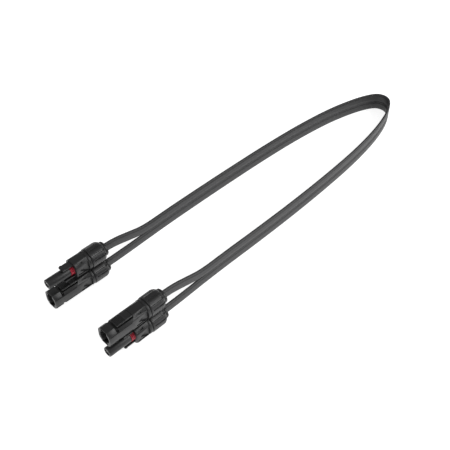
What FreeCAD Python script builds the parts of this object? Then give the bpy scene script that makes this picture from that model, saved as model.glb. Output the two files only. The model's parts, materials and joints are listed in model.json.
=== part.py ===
"""Flat twin-core photovoltaic extension lead with a push-lock plug and socket at each end.

Two flat cores lie one on the other as a ribbon that stands on its edge and makes one long, narrow
loop.  At each end the ribbon parts into two legs, and each leg ends in a connector: a plug over a
socket on the far side (+Y), and a socket over a plug on the near side (-Y), so both cores run from
a plug to a socket.

Frame: +X runs from the connectors to the loop, +Z is up, and the origin is at the bottom centre of
the box round the four connectors.  Each connector is drawn about the X axis and then moved to its
place.  A station is a distance in millimetres from the connector's cable end towards its mating end.
"""
import FreeCAD
import Part
import math
import os

V = FreeCAD.Vector
AXIS_X = V(1, 0, 0)
AXIS_Y = V(0, 1, 0)
AXIS_Z = V(0, 0, 1)
MIDDLE = V(0, 0, 0)

# Overall layout
COUPLER_LENGTH = 60.8
PAIR_HALF_SPACING = 38.6
STACK_GAP = 1.0

# Fits: a radial gap between turning pieces, a gap between fixed pieces, and a gap round bending ones
RUNNING_CLEARANCE = 0.06
SEAT_CLEARANCE = 0.10
FLEX_CLEARANCE = 0.25
FACE_GAP = 0.15

# Flat core
CORE_WIDTH = 9.8
CORE_THICKNESS = 2.1
CORE_EDGE_RADIUS = 0.6
CORE_END_STATION = 19.6
STRAND_DIAMETER = 3.6
STRAND_LENGTH = 7.9
BEND_SHARE = 0.45

# End bush: a disc outside the nut, a neck through it and a thrust flange inside it
BUSH_SLOT_CLEARANCE = 0.4
BUSH_SLOT_FLARE = 0.6
BUSH_NECK_WALL = 0.9
BUSH_DISC_LIP = 0.6
BUSH_DISC_LENGTH = 2.4
BUSH_DISC_CHAMFER = 0.5
BUSH_FLANGE_GAP = 0.3
BUSH_FLANGE_LENGTH = 1.6

# Clamping claw and grommet in the chamber at the cable end of the housing
CLAW_WALL = 1.4
CLAW_LENGTH = 4.9
CLAW_SLIT_WIDTH = 0.8
CLAW_SLIT_LENGTH = 3.2
CLAW_SLIT_COUNT = 8
SEAL_LENGTH = 6.0

# Threaded spigot round the chamber, cap nut over it and flange in front of it
SPIGOT_WALL = 1.3
SPIGOT_STATION = 8.0
NUT_WALL = 1.74
NUT_LENGTH = 16.3
NUT_END_WALL = 3.0
NUT_CROWN_LENGTH = 5.0
NUT_CROWN_DROP = 2.7
NUT_RIM_LENGTH = 2.0
NUT_RIM_CHAMFER = 0.4
NUT_GROOVE_COUNT = 12
NUT_GROOVE_WIDTH = 1.5
NUT_GROOVE_DEPTH = 0.75
FLANGE_SETBACK = 0.5
FLANGE_LENGTH = 2.9

# Metal contacts: a pin in the socket, and a slit metal socket in the plug
PIN_DIAMETER = 4.0
PIN_DEPTH = 9.6
PIN_TIP_CHAMFER = 0.9
PIN_CLEARANCE = 0.05
CONTACT_WALL = 0.55
CONTACT_STATION = 21.8
CONTACT_RECESS = 1.0
CONTACT_BORE_LENGTH = 28.0
CONTACT_SLIT_WIDTH = 0.5
CONTACT_SLIT_LENGTH = 12.0

# Plug nose and its seal
SHOULDER_STATION = 35.2
NOSE_WALL = 1.85
NOSE_TIP_CHAMFER = 0.5
NOSE_GROOVE_DEPTH = 0.4
NOSE_SEAL_STAND = 0.9
NOSE_SEAL_LENGTH = 3.5

# Latch arms of the plug
ARM_WIDTH = 6.5
ARM_THICKNESS = 1.4
ARM_SEAL_GAP = 0.45
ARM_LENGTH = 10.4
ARM_HINGE_SETBACK = 1.2
ARM_KNUCKLE_RADIUS = 0.95
BARB_LENGTH = 2.4
BARB_HEIGHT = 0.75
BARB_TOP_LENGTH = 1.0
BARB_NOSE_DROP = 0.5

# Socket mouth and its stepped bore
MOUTH_CLEARANCE = 0.1
MOUTH_DEPTH = 4.5
GUIDE_CLEARANCE = 0.15
GUIDE_DEPTH = 9.2
RELIEF_STEP = 0.15
UNDERCUT_STEP = 0.45
UNDERCUT_LENGTH = 0.8
NOSE_END_GAP = 0.3
CHANNEL_HEADROOM = 0.35
CHANNEL_WEB = 0.65
COLLAR_DEPTH = 7.8

# Housing block: a rectangle with chamfered corners, seen from the mating end
BLOCK_WIDTH = 15.0
BLOCK_ROOF = 0.6
BLOCK_CHAMFER = 3.5
SCALLOP_LENGTH = 9.5
SCALLOP_HEIGHT = 11.0
SCALLOP_DEPTH = 1.1
VENT_LENGTH = 6.6
VENT_HEIGHT = 1.2
VENT_DEPTH = 0.9
VENT_OFFSET = 3.4
VENT_STATION = 27.4
SIDE_GROOVE_STATION = 38.0
SIDE_GROOVE_HEIGHT = 1.0
SIDE_GROOVE_DEPTH = 0.5
SIDE_GROOVE_SETBACK = 0.05
NOTCH_DEPTH = 2.5
NOTCH_DROP = 1.15

# Release tongues of the socket
TONGUE_HALF_WIDTH = 4.6
TONGUE_THICKNESS = 1.3
TONGUE_SIDE_SLOT = 0.9
TONGUE_FRONT_GAP = 2.2
TONGUE_ROOT_STATION = 35.2
TONGUE_HINGE_SETBACK = 1.0
TONGUE_HINGE_DEPTH = 1.15
TONGUE_KNUCKLE_RADIUS = 1.0
WELL_WEB = 0.7
GRIP_RIB_COUNT = 6
GRIP_RIB_PITCH = 1.5
GRIP_RIB_GAP = 0.7
GRIP_RIB_DEPTH = 0.35
GRIP_FIRST_RIB = 1.4

# Diameters and heights that follow, from the core outwards and from the pin outwards
BUSH_NECK_DIAMETER = CORE_WIDTH + 2 * (BUSH_SLOT_CLEARANCE + BUSH_NECK_WALL)
BUSH_DISC_DIAMETER = BUSH_NECK_DIAMETER + 2 * BUSH_DISC_LIP
CHAMBER_DIAMETER = CORE_WIDTH + 2 * (CLAW_WALL + SEAT_CLEARANCE)
SPIGOT_DIAMETER = CHAMBER_DIAMETER + 2 * SPIGOT_WALL
BUSH_FLANGE_DIAMETER = SPIGOT_DIAMETER - 2 * BUSH_FLANGE_GAP
THREAD_DIAMETER = SPIGOT_DIAMETER + 2 * RUNNING_CLEARANCE
NUT_DIAMETER = THREAD_DIAMETER + 2 * NUT_WALL
FLANGE_DIAMETER = NUT_DIAMETER - 2 * FLANGE_SETBACK
STACK_PITCH = NUT_DIAMETER + STACK_GAP
LOWER_AXIS_Z = NUT_DIAMETER / 2
UPPER_AXIS_Z = LOWER_AXIS_Z + STACK_PITCH
CONTACT_BORE_DIAMETER = PIN_DIAMETER + 2 * PIN_CLEARANCE
CONTACT_DIAMETER = CONTACT_BORE_DIAMETER + 2 * CONTACT_WALL
CONTACT_HOLE_DIAMETER = CONTACT_DIAMETER + 2 * SEAT_CLEARANCE
NOSE_DIAMETER = CONTACT_HOLE_DIAMETER + 2 * NOSE_WALL
NOSE_GROOVE_DIAMETER = NOSE_DIAMETER - 2 * NOSE_GROOVE_DEPTH
NOSE_SEAL_DIAMETER = NOSE_DIAMETER + 2 * NOSE_SEAL_STAND
MOUTH_DIAMETER = NOSE_SEAL_DIAMETER + 2 * MOUTH_CLEARANCE
GUIDE_DIAMETER = NOSE_DIAMETER + 2 * GUIDE_CLEARANCE
RELIEF_DIAMETER = GUIDE_DIAMETER + 2 * RELIEF_STEP
UNDERCUT_DIAMETER = GUIDE_DIAMETER + 2 * UNDERCUT_STEP
ARM_HEIGHT = (NOSE_SEAL_DIAMETER + ARM_THICKNESS) / 2 + ARM_SEAL_GAP
CHANNEL_FLOOR = GUIDE_DIAMETER / 2 + CHANNEL_WEB
CHANNEL_TOP = ARM_HEIGHT + ARM_THICKNESS / 2 + CHANNEL_HEADROOM
BLOCK_HEIGHT = 2 * (CHANNEL_TOP + BLOCK_ROOF)
CHAMFER_DISTANCE = ((BLOCK_WIDTH + BLOCK_HEIGHT) / 2 - BLOCK_CHAMFER) * math.sqrt(0.5)
CHAMFER_MIDDLE = (BLOCK_HEIGHT - BLOCK_WIDTH) / 2 * math.sqrt(0.5)
EDGE_HEIGHT = BLOCK_HEIGHT / 2 - BLOCK_CHAMFER
TONGUE_UNDERSIDE = BLOCK_HEIGHT / 2 - TONGUE_THICKNESS
TONGUE_KNUCKLE_HEIGHT = BLOCK_HEIGHT / 2 - TONGUE_HINGE_DEPTH
TONGUE_WELL_FLOOR = UNDERCUT_DIAMETER / 2 + WELL_WEB
WELL_HALF_WIDTH = TONGUE_HALF_WIDTH + TONGUE_SIDE_SLOT

# Stations that follow
NUT_STATION = BUSH_DISC_LENGTH + SEAT_CLEARANCE
NUT_FRONT = NUT_STATION + NUT_LENGTH
NUT_INSIDE = NUT_STATION + NUT_END_WALL
BUSH_FLANGE_STATION = NUT_INSIDE + SEAT_CLEARANCE
FLANGE_STATION = NUT_FRONT + FACE_GAP
BLOCK_STATION = FLANGE_STATION + FLANGE_LENGTH
CLAW_STATION = BUSH_FLANGE_STATION + BUSH_FLANGE_LENGTH + 2 * FACE_GAP
SEAL_STATION = CLAW_STATION + CLAW_LENGTH
CHAMBER_END = CORE_END_STATION + FACE_GAP
STRAND_END = CORE_END_STATION + STRAND_LENGTH
CONTACT_END = COUPLER_LENGTH - CONTACT_RECESS
ARM_HINGE_STATION = SHOULDER_STATION - ARM_HINGE_SETBACK
ARM_TIP_STATION = SHOULDER_STATION + ARM_LENGTH
NOSE_SEAL_END = SHOULDER_STATION + NOSE_SEAL_LENGTH
PIN_TIP_STATION = COUPLER_LENGTH - PIN_DEPTH
NOSE_HOLE_END = SHOULDER_STATION - NOSE_END_GAP
MOUTH_STATION = COUPLER_LENGTH - MOUTH_DEPTH
GUIDE_STATION = COUPLER_LENGTH - GUIDE_DEPTH
COLLAR_STATION = COUPLER_LENGTH - COLLAR_DEPTH
TONGUE_FRONT_STATION = COLLAR_STATION - TONGUE_FRONT_GAP
TONGUE_HINGE_STATION = TONGUE_ROOT_STATION + TONGUE_HINGE_SETBACK
WELL_STATION = TONGUE_ROOT_STATION - FLEX_CLEARANCE
CABLE_END_X = COUPLER_LENGTH / 2

# Route of the ribbon seen from above, from where the legs have met on the far side to the near side
RIBBON_PLAN = (
    (76.0, 40.4),
    (106.0, 42.3),
    (150.0, 44.4),
    (200.0, 45.9),
    (254.0, 45.5),
    (306.0, 43.3),
    (350.0, 38.6),
    (378.0, 32.6),
    (395.0, 27.6),
    (407.5, 22.0),
    (413.6, 17.0),
    (415.7, 9.8),
    (413.4, 2.8),
    (407.0, -2.6),
    (397.0, -7.9),
    (382.0, -13.6),
    (354.0, -20.6),
    (310.0, -27.1),
    (256.0, -31.0),
    (202.0, -33.2),
    (150.0, -34.9),
    (106.0, -36.0),
    (76.0, -37.1),
)
# Height of the lower core's middle at the first points; beyond them it rests on the ground
LEAD_IN_HEIGHTS = (8.95, 8.1, 6.4)
# Points of a leg seen from above: x, then the far leg's and the near leg's shift towards +Y from the
# axis of the connector, and how far the lower and the upper leg have come down at each point
LEG_PLAN = (
    (26.0, 0.0, 0.0),
    (42.0, 0.1, 0.1),
    (58.0, 0.8, 0.6),
)
LOWER_DROPS = (0.0, 0.05, 0.2)
UPPER_DROPS = (0.0, 0.8, 5.4)


def station_x(station):
    """X of a station."""
    return CABLE_END_X - station


def rod(diameter, start, end):
    """Cylinder along the X axis between two stations."""
    return Part.makeCylinder(diameter / 2, end - start, V(station_x(end), 0, 0), AXIS_X)


def tube(outer, inner, start, end):
    """Tube along the X axis between two stations."""
    return rod(outer, start, end).cut(rod(inner, start - 1, end + 1))


def bar(start, end, half_width, low, high):
    """Box between two stations and two heights, symmetric about the XZ plane."""
    return Part.makeBox(end - start, 2 * half_width, high - low, V(station_x(end), -half_width, low))


def knuckle(station, height, radius, width):
    """Cylinder across the connector, the root that a bending arm turns about."""
    return Part.makeCylinder(radius, width, V(station_x(station), -width / 2, height), AXIS_Y)


def turned(points):
    """Solid of revolution about the X axis from (station, radius) points closed on the axis."""
    outline = Part.makePolygon([V(station_x(s), 0, r) for s, r in points + points[:1]])
    return Part.Face(outline).revolve(MIDDLE, AXIS_X, 360)


def about_x(shape, angle):
    """Copy of a shape turned about the X axis."""
    copy = shape.copy()
    copy.rotate(MIDDLE, AXIS_X, angle)
    return copy


def both_sides(shape):
    """A shape and its copy half a turn away."""
    return shape.fuse(about_x(shape, 180))


def prism(points, direction):
    """Solid made by moving a closed flat polygon along a direction."""
    return Part.Face(Part.makePolygon(points + points[:1])).extrude(direction)


def block(start, end):
    """Length of the housing block between two stations."""
    y, z, c = BLOCK_WIDTH / 2, BLOCK_HEIGHT / 2, BLOCK_CHAMFER
    corners = [(y, z - c), (y - c, z), (c - y, z), (-y, z - c), (-y, c - z), (c - y, -z), (y - c, -z), (y, c - z)]
    x = station_x(end)
    return prism([V(x, p, q) for p, q in corners], V(end - start, 0, 0))


def core_outline(centre, grow=0.0):
    """Closed wire round a flat core, seen along X, made larger all round by a clearance."""
    half_y = CORE_THICKNESS / 2 + grow
    half_z = CORE_WIDTH / 2 + grow
    r = CORE_EDGE_RADIUS
    s = r * (1 - math.sqrt(0.5))
    edges = []
    for turn in range(4):
        along_y = turn % 2 == 0
        a, b = (half_y, half_z) if along_y else (half_z, half_y)
        side = [V(0, a, r - b), V(0, a, b - r), V(0, a - s, b - s), V(0, a - r, b)]
        spun = [FreeCAD.Rotation(AXIS_X, 90 * turn).multVec(p) + centre for p in side]
        edges.append(Part.LineSegment(spun[0], spun[1]).toShape())
        edges.append(Part.Arc(spun[1], spun[2], spun[3]).toShape())
    return Part.Wire(edges)


def core_hole(start, end, grow=0.0):
    """Straight hole for a flat core between two stations."""
    outline = core_outline(V(station_x(end), 0, 0), grow)
    return Part.Face(outline).extrude(V(end - start, 0, 0))


def end_bush():
    """Slotted bush that carries the nut along the core."""
    radius = BUSH_DISC_DIAMETER / 2
    disc = turned([
        (0, 0),
        (0, radius - BUSH_DISC_CHAMFER),
        (BUSH_DISC_CHAMFER, radius),
        (BUSH_DISC_LENGTH, radius),
        (BUSH_DISC_LENGTH, 0),
    ])
    neck = rod(BUSH_NECK_DIAMETER, BUSH_DISC_LENGTH, BUSH_FLANGE_STATION)
    flange = rod(BUSH_FLANGE_DIAMETER, BUSH_FLANGE_STATION, BUSH_FLANGE_STATION + BUSH_FLANGE_LENGTH)
    slot = core_hole(-1, CLAW_STATION, BUSH_SLOT_CLEARANCE)
    inner = core_outline(V(station_x(BUSH_DISC_LENGTH), 0, 0), BUSH_SLOT_CLEARANCE)
    outer = core_outline(V(station_x(0), 0, 0), BUSH_SLOT_CLEARANCE + BUSH_SLOT_FLARE)
    flare = Part.makeLoft([inner, outer], True, True)
    return disc.fuse([neck, flange]).cut([slot, flare])


def cap_nut():
    """Ribbed cap nut that turns on the bush and screws over the spigot."""
    radius = NUT_DIAMETER / 2
    crown_start = V(station_x(NUT_STATION), 0, radius - NUT_CROWN_DROP)
    crown_end = V(station_x(NUT_STATION + NUT_CROWN_LENGTH), 0, radius)
    bulge = V(station_x(NUT_STATION + NUT_CROWN_LENGTH / 3), 0, radius - NUT_CROWN_DROP / 3)
    rim = [
        V(station_x(NUT_FRONT - NUT_RIM_CHAMFER), 0, radius),
        V(station_x(NUT_FRONT), 0, radius - NUT_RIM_CHAMFER),
        V(station_x(NUT_FRONT), 0, 0),
        V(station_x(NUT_STATION), 0, 0),
    ]
    crown = Part.Arc(crown_start, bulge, crown_end).toShape()
    rest = Part.makePolygon([crown_end] + rim + [crown_start])
    outside = Part.Face(Part.Wire([crown] + rest.Edges)).revolve(MIDDLE, AXIS_X, 360)
    neck_hole = rod(BUSH_NECK_DIAMETER + 2 * RUNNING_CLEARANCE, 0, NUT_INSIDE + 1)
    thread_hole = rod(THREAD_DIAMETER, NUT_INSIDE, NUT_FRONT + 1)
    groove = bar(0, NUT_FRONT - NUT_RIM_LENGTH, NUT_GROOVE_WIDTH / 2, radius - NUT_GROOVE_DEPTH, radius + 1)
    step = 360 / NUT_GROOVE_COUNT
    grooves = [about_x(groove, step * (i + 0.5)) for i in range(NUT_GROOVE_COUNT)]
    return outside.cut([neck_hole, thread_hole] + grooves)


def clamp_claw():
    """Slit collar that the nut squeezes round the core."""
    collar = rod(CHAMBER_DIAMETER - 2 * SEAT_CLEARANCE, CLAW_STATION, SEAL_STATION)
    hole = core_hole(0, SEAL_STATION + 1, SEAT_CLEARANCE)
    slit = bar(0, CLAW_STATION + CLAW_SLIT_LENGTH, CLAW_SLIT_WIDTH / 2, CORE_WIDTH / 2, CHAMBER_DIAMETER)
    step = 360 / CLAW_SLIT_COUNT
    slits = [about_x(slit, step * (i + 0.5)) for i in range(CLAW_SLIT_COUNT)]
    return collar.cut([hole] + slits)


def cable_seal():
    """Rubber grommet round the core, in front of the claw."""
    grommet = rod(CHAMBER_DIAMETER - 2 * SEAT_CLEARANCE, SEAL_STATION, SEAL_STATION + SEAL_LENGTH)
    return grommet.cut(core_hole(0, CHAMBER_END))


def bare_strand():
    """Bared end of the core's copper, bunched round in the contact's crimp barrel."""
    return rod(STRAND_DIAMETER, CORE_END_STATION, STRAND_END)


def vent(distance, height):
    """Shallow slot let into a face at a distance from the axis along +Y."""
    corner = V(station_x(VENT_STATION + VENT_LENGTH), distance - VENT_DEPTH, height - VENT_HEIGHT / 2)
    return Part.makeBox(VENT_LENGTH, VENT_DEPTH + 1, VENT_HEIGHT, corner)


def housing(front):
    """Housing common to plug and socket, up to the station of its front face."""
    spigot = rod(SPIGOT_DIAMETER, SPIGOT_STATION, FLANGE_STATION)
    flange = rod(FLANGE_DIAMETER, FLANGE_STATION, BLOCK_STATION)
    solid = block(BLOCK_STATION, front).fuse([spigot, flange])
    chamber = rod(CHAMBER_DIAMETER, 0, CHAMBER_END)
    contact_hole = rod(CONTACT_HOLE_DIAMETER, CHAMBER_END, front + 1)
    cuts = [chamber, contact_hole]
    side = BLOCK_WIDTH / 2
    wide = [
        V(station_x(BLOCK_STATION), side - SCALLOP_DEPTH, -SCALLOP_HEIGHT / 2),
        V(station_x(BLOCK_STATION), side - SCALLOP_DEPTH, SCALLOP_HEIGHT / 2),
        V(station_x(BLOCK_STATION + SCALLOP_LENGTH), side - SCALLOP_DEPTH, 0),
    ]
    cuts.append(both_sides(prism(wide, V(0, SCALLOP_DEPTH + 1, 0))))
    cuts.append(both_sides(vent(side, VENT_OFFSET)))
    cuts.append(both_sides(about_x(vent(CHAMFER_DISTANCE, -CHAMFER_MIDDLE), 135)))
    return solid.cut(cuts)


def plug_body():
    """Plug housing: block, bored nose and a pocket for the root of each latch arm."""
    radius = NOSE_DIAMETER / 2
    nose = turned([
        (SHOULDER_STATION - 1, 0),
        (SHOULDER_STATION - 1, NOSE_GROOVE_DIAMETER / 2),
        (NOSE_SEAL_END, NOSE_GROOVE_DIAMETER / 2),
        (NOSE_SEAL_END, radius),
        (COUPLER_LENGTH - NOSE_TIP_CHAMFER, radius),
        (COUPLER_LENGTH, radius - NOSE_TIP_CHAMFER),
        (COUPLER_LENGTH, 0),
    ])
    room = ARM_KNUCKLE_RADIUS + FLEX_CLEARANCE
    half_width = ARM_WIDTH / 2 + FLEX_CLEARANCE
    pocket = bar(ARM_HINGE_STATION - room, SHOULDER_STATION + 1, half_width, ARM_HEIGHT - room, ARM_HEIGHT + room)
    bore = rod(CONTACT_HOLE_DIAMETER, CHAMBER_END, COUPLER_LENGTH + 1)
    return housing(SHOULDER_STATION).fuse(nose).cut([bore, both_sides(pocket)])


def nose_seal():
    """Sealing ring at the root of the plug's nose."""
    return tube(NOSE_SEAL_DIAMETER, NOSE_GROOVE_DIAMETER, SHOULDER_STATION, NOSE_SEAL_END)


def latch_arm():
    """Upper latch arm of the plug: knuckle, arm and barb in one piece."""
    low = ARM_HEIGHT - ARM_THICKNESS / 2
    high = ARM_HEIGHT + ARM_THICKNESS / 2
    barb_station = ARM_TIP_STATION - BARB_LENGTH
    outline = [
        (ARM_HINGE_STATION, low),
        (ARM_HINGE_STATION, high),
        (barb_station, high),
        (barb_station, high + BARB_HEIGHT),
        (barb_station + BARB_TOP_LENGTH, high + BARB_HEIGHT),
        (ARM_TIP_STATION, high - BARB_NOSE_DROP),
        (ARM_TIP_STATION, low),
    ]
    points = [V(station_x(s), -ARM_WIDTH / 2, z) for s, z in outline]
    root = knuckle(ARM_HINGE_STATION, ARM_HEIGHT, ARM_KNUCKLE_RADIUS, ARM_WIDTH)
    return prism(points, V(0, ARM_WIDTH, 0)).fuse(root)


def socket_contact():
    """Slit metal socket in the plug's nose, with its crimp barrel."""
    barrel = rod(CONTACT_DIAMETER, CONTACT_STATION, CONTACT_END)
    crimp = rod(STRAND_DIAMETER, 0, STRAND_END)
    bore = rod(CONTACT_BORE_DIAMETER, CONTACT_END - CONTACT_BORE_LENGTH, CONTACT_END + 1)
    slit_start = CONTACT_END - CONTACT_SLIT_LENGTH
    slit = bar(slit_start, CONTACT_END + 1, CONTACT_SLIT_WIDTH / 2, -CONTACT_DIAMETER, CONTACT_DIAMETER)
    return barrel.cut([crimp, bore, slit, about_x(slit, 90)])


def pin_contact():
    """Metal pin in the socket, with its crimp barrel."""
    barrel = rod(CONTACT_DIAMETER, CONTACT_STATION, NOSE_HOLE_END)
    pin = turned([
        (NOSE_HOLE_END - 1, 0),
        (NOSE_HOLE_END - 1, PIN_DIAMETER / 2),
        (PIN_TIP_STATION - PIN_TIP_CHAMFER, PIN_DIAMETER / 2),
        (PIN_TIP_STATION, PIN_DIAMETER / 2 - PIN_TIP_CHAMFER),
        (PIN_TIP_STATION, 0),
    ])
    return barrel.fuse(pin).cut(rod(STRAND_DIAMETER, 0, STRAND_END))


def socket_body():
    """Socket housing: mouth, guide bore round the pin, arm channels and a well for each tongue."""
    channel_half_width = ARM_WIDTH / 2 + 2 * SEAT_CLEARANCE
    channel = bar(COLLAR_STATION - 1, COUPLER_LENGTH + 1, channel_half_width, CHANNEL_FLOOR, CHANNEL_TOP)
    well = bar(WELL_STATION, COLLAR_STATION, WELL_HALF_WIDTH, TONGUE_WELL_FLOOR, BLOCK_HEIGHT)
    side = BLOCK_WIDTH / 2
    groove_length = COUPLER_LENGTH - SIDE_GROOVE_STATION
    groove_low = EDGE_HEIGHT + SIDE_GROOVE_SETBACK - SIDE_GROOVE_HEIGHT
    groove = Part.makeBox(
        groove_length + 1,
        SIDE_GROOVE_DEPTH + 1,
        SIDE_GROOVE_HEIGHT,
        V(station_x(COUPLER_LENGTH) - 1, side - SIDE_GROOVE_DEPTH, groove_low),
    )
    notch = Part.makeBox(
        COLLAR_STATION - TONGUE_FRONT_STATION,
        NOTCH_DEPTH + 1,
        BLOCK_HEIGHT / 2,
        V(station_x(COLLAR_STATION), side - NOTCH_DEPTH, EDGE_HEIGHT - NOTCH_DROP),
    )
    cuts = [
        rod(RELIEF_DIAMETER, NOSE_HOLE_END, GUIDE_STATION),
        rod(UNDERCUT_DIAMETER, GUIDE_STATION - UNDERCUT_LENGTH, GUIDE_STATION),
        rod(GUIDE_DIAMETER, GUIDE_STATION, MOUTH_STATION),
        rod(MOUTH_DIAMETER, MOUTH_STATION, COUPLER_LENGTH + 1),
        both_sides(channel),
        both_sides(well),
    ]
    for corner_cut in (groove, notch):
        cuts.append(both_sides(corner_cut))
        cuts.append(both_sides(corner_cut.mirror(MIDDLE, AXIS_Z)))
    return housing(COUPLER_LENGTH).cut(cuts)


def release_tongue():
    """Upper release tongue of the socket, flush with the block and ribbed for the fingers."""
    room = bar(TONGUE_ROOT_STATION, TONGUE_FRONT_STATION, TONGUE_HALF_WIDTH, TONGUE_UNDERSIDE, BLOCK_HEIGHT)
    plate = block(TONGUE_ROOT_STATION, TONGUE_FRONT_STATION).common(room)
    root_width = BLOCK_WIDTH - 2 * BLOCK_CHAMFER
    root = knuckle(TONGUE_HINGE_STATION, TONGUE_KNUCKLE_HEIGHT, TONGUE_KNUCKLE_RADIUS, root_width)
    top = BLOCK_HEIGHT / 2
    grips = []
    for rib in range(GRIP_RIB_COUNT):
        start = TONGUE_FRONT_STATION - GRIP_FIRST_RIB - GRIP_RIB_PITCH * rib - GRIP_RIB_GAP
        grips.append(bar(start, start + GRIP_RIB_GAP, BLOCK_WIDTH, top - GRIP_RIB_DEPTH, BLOCK_HEIGHT))
    return plate.fuse(root).cut(grips)


def leg(side, axis_z, drops):
    """Points of one leg, from its end in the connector to where it meets the ribbon.

    Args:
        side: 1 for the far pair of connectors, -1 for the near pair.
        axis_z: height of the connector's axis.
        drops: how far the leg has come down from that axis at each of its points.
    """
    points = [V(station_x(CORE_END_STATION), side * PAIR_HALF_SPACING, axis_z)]
    for (x, far_shift, near_shift), drop in zip(LEG_PLAN, drops):
        shift = far_shift if side > 0 else near_shift
        points.append(V(x, side * PAIR_HALF_SPACING + shift, axis_z - drop))
    return points


def route(axis_z, drops, lift):
    """Points of one core from the far connector to the near one.

    Args:
        axis_z: height of the connector axes that the core's legs leave from.
        drops: how far each leg has come down from that axis at each of its points.
        lift: height of this core's middle above the lower core's where they lie together.
    """
    heights = [CORE_WIDTH / 2] * len(RIBBON_PLAN)
    for place, height in enumerate(LEAD_IN_HEIGHTS):
        heights[place] = height
        heights[-1 - place] = height
    ribbon = [V(x, y, z + lift) for (x, y), z in zip(RIBBON_PLAN, heights)]
    return leg(1, axis_z, drops) + ribbon + leg(-1, axis_z, drops)[::-1]


def bend_radius(before, corner, after):
    """Largest arc radius that both runs at a corner leave room for, and half the turn there."""
    run_in = corner - before
    run_out = after - corner
    half_turn = run_in.getAngle(run_out) / 2
    return BEND_SHARE * min(run_in.Length, run_out.Length) / math.tan(half_turn), half_turn


def core_path(points):
    """Wire of straight runs joined by tangent arcs, and the list of its bend radii."""
    edges = []
    radii = []
    at = points[0]
    for before, corner, after in zip(points, points[1:], points[2:]):
        radius, half_turn = bend_radius(before, corner, after)
        reach = radius * math.tan(half_turn)
        back = (before - corner).normalize()
        ahead = (after - corner).normalize()
        inward = (back + ahead).normalize()
        middle = corner + inward * (radius / math.cos(half_turn) - radius)
        start = corner + back * reach
        end = corner + ahead * reach
        edges.append(Part.LineSegment(at, start).toShape())
        edges.append(Part.Arc(start, middle, end).toShape())
        radii.append(radius)
        at = end
    edges.append(Part.LineSegment(at, points[-1]).toShape())
    return Part.Wire(edges), radii


def flat_core(name, points):
    """Flat insulated core swept along its route with its width kept upright."""
    path, radii = core_path(points)
    section = core_outline(points[0])
    sweep = Part.BRepOffsetAPI.MakePipeShell(path)
    sweep.setBiNormalMode(AXIS_Z)
    sweep.add(section)
    sweep.build()
    sweep.makeSolid()
    core = sweep.shape()
    expected = Part.Face(section).Area * path.Length
    print(f"{name}: length {path.Length:.1f} mm, volume {core.Volume:.0f} of {expected:.0f} mm3")
    print("  bend radii, mm:", " ".join(f"{r:.1f}" for r in radii))
    return core


def plug_pieces():
    """Pieces of a plug by name, about the X axis."""
    arm = latch_arm()
    return {
        "body": plug_body(),
        "nose_seal": nose_seal(),
        "contact": socket_contact(),
        "latch_arm_top": arm,
        "latch_arm_bottom": about_x(arm, 180),
    }


def socket_pieces():
    """Pieces of a socket by name, about the X axis."""
    tongue = release_tongue()
    return {
        "body": socket_body(),
        "contact": pin_contact(),
        "tongue_top": tongue,
        "tongue_bottom": about_x(tongue, 180),
    }


def cable_end_pieces():
    """Pieces that grip, seal and cover the core in every connector."""
    return {
        "end_bush": end_bush(),
        "cap_nut": cap_nut(),
        "clamp_claw": clamp_claw(),
        "cable_seal": cable_seal(),
        "strand": bare_strand(),
    }


def main():
    """Build every piece and write one STEP file for each."""
    nodes = {}
    places = {
        "far_plug": (plug_pieces, PAIR_HALF_SPACING, UPPER_AXIS_Z),
        "far_socket": (socket_pieces, PAIR_HALF_SPACING, LOWER_AXIS_Z),
        "near_socket": (socket_pieces, -PAIR_HALF_SPACING, UPPER_AXIS_Z),
        "near_plug": (plug_pieces, -PAIR_HALF_SPACING, LOWER_AXIS_Z),
    }
    for place, (pieces, y, z) in places.items():
        for piece, shape in {**pieces(), **cable_end_pieces()}.items():
            shape.translate(V(0, y, z))
            nodes[f"{place}_{piece}"] = shape
    nodes["lower_core"] = flat_core("lower_core", route(LOWER_AXIS_Z, LOWER_DROPS, 0.0))
    nodes["upper_core"] = flat_core("upper_core", route(UPPER_AXIS_Z, UPPER_DROPS, CORE_WIDTH))
    os.makedirs("parts", exist_ok=True)
    for name, shape in nodes.items():
        shape.exportStep(f"parts/{name}.step")
    print(len(nodes), "nodes")


main()
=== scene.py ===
"""Looks of a flat twin-core photovoltaic extension lead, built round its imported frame.

The lead has four push-lock connectors, a plug and a socket stacked at each end, on two flat cores
that lie together as a ribbon.  Each connector piece is modelled once, in millimetres, about its own
axis with the cable end at X = 0 and the mating end towards -X, and copied to the connectors.
"""
from __future__ import annotations

import json
import logging
import math
from contextlib import contextmanager
from dataclasses import dataclass
from enum import Enum
from typing import Callable, Iterator, Sequence

import bmesh
import bpy
from mathutils import Matrix, Vector


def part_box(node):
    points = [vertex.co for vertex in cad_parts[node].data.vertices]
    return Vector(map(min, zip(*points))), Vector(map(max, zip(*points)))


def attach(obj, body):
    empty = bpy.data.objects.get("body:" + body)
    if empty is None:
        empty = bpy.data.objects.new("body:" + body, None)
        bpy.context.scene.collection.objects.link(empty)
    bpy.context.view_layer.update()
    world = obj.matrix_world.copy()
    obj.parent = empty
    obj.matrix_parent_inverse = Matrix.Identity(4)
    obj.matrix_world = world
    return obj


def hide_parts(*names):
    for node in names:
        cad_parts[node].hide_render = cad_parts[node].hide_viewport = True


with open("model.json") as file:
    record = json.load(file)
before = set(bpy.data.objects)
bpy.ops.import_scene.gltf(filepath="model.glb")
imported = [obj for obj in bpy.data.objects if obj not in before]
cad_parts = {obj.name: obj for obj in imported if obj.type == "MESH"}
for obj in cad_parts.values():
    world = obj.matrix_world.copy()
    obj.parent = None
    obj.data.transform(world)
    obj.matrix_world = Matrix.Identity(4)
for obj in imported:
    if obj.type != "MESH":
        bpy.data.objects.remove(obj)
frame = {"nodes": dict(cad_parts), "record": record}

LOG = logging.getLogger("lead")
MM = 0.001
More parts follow.
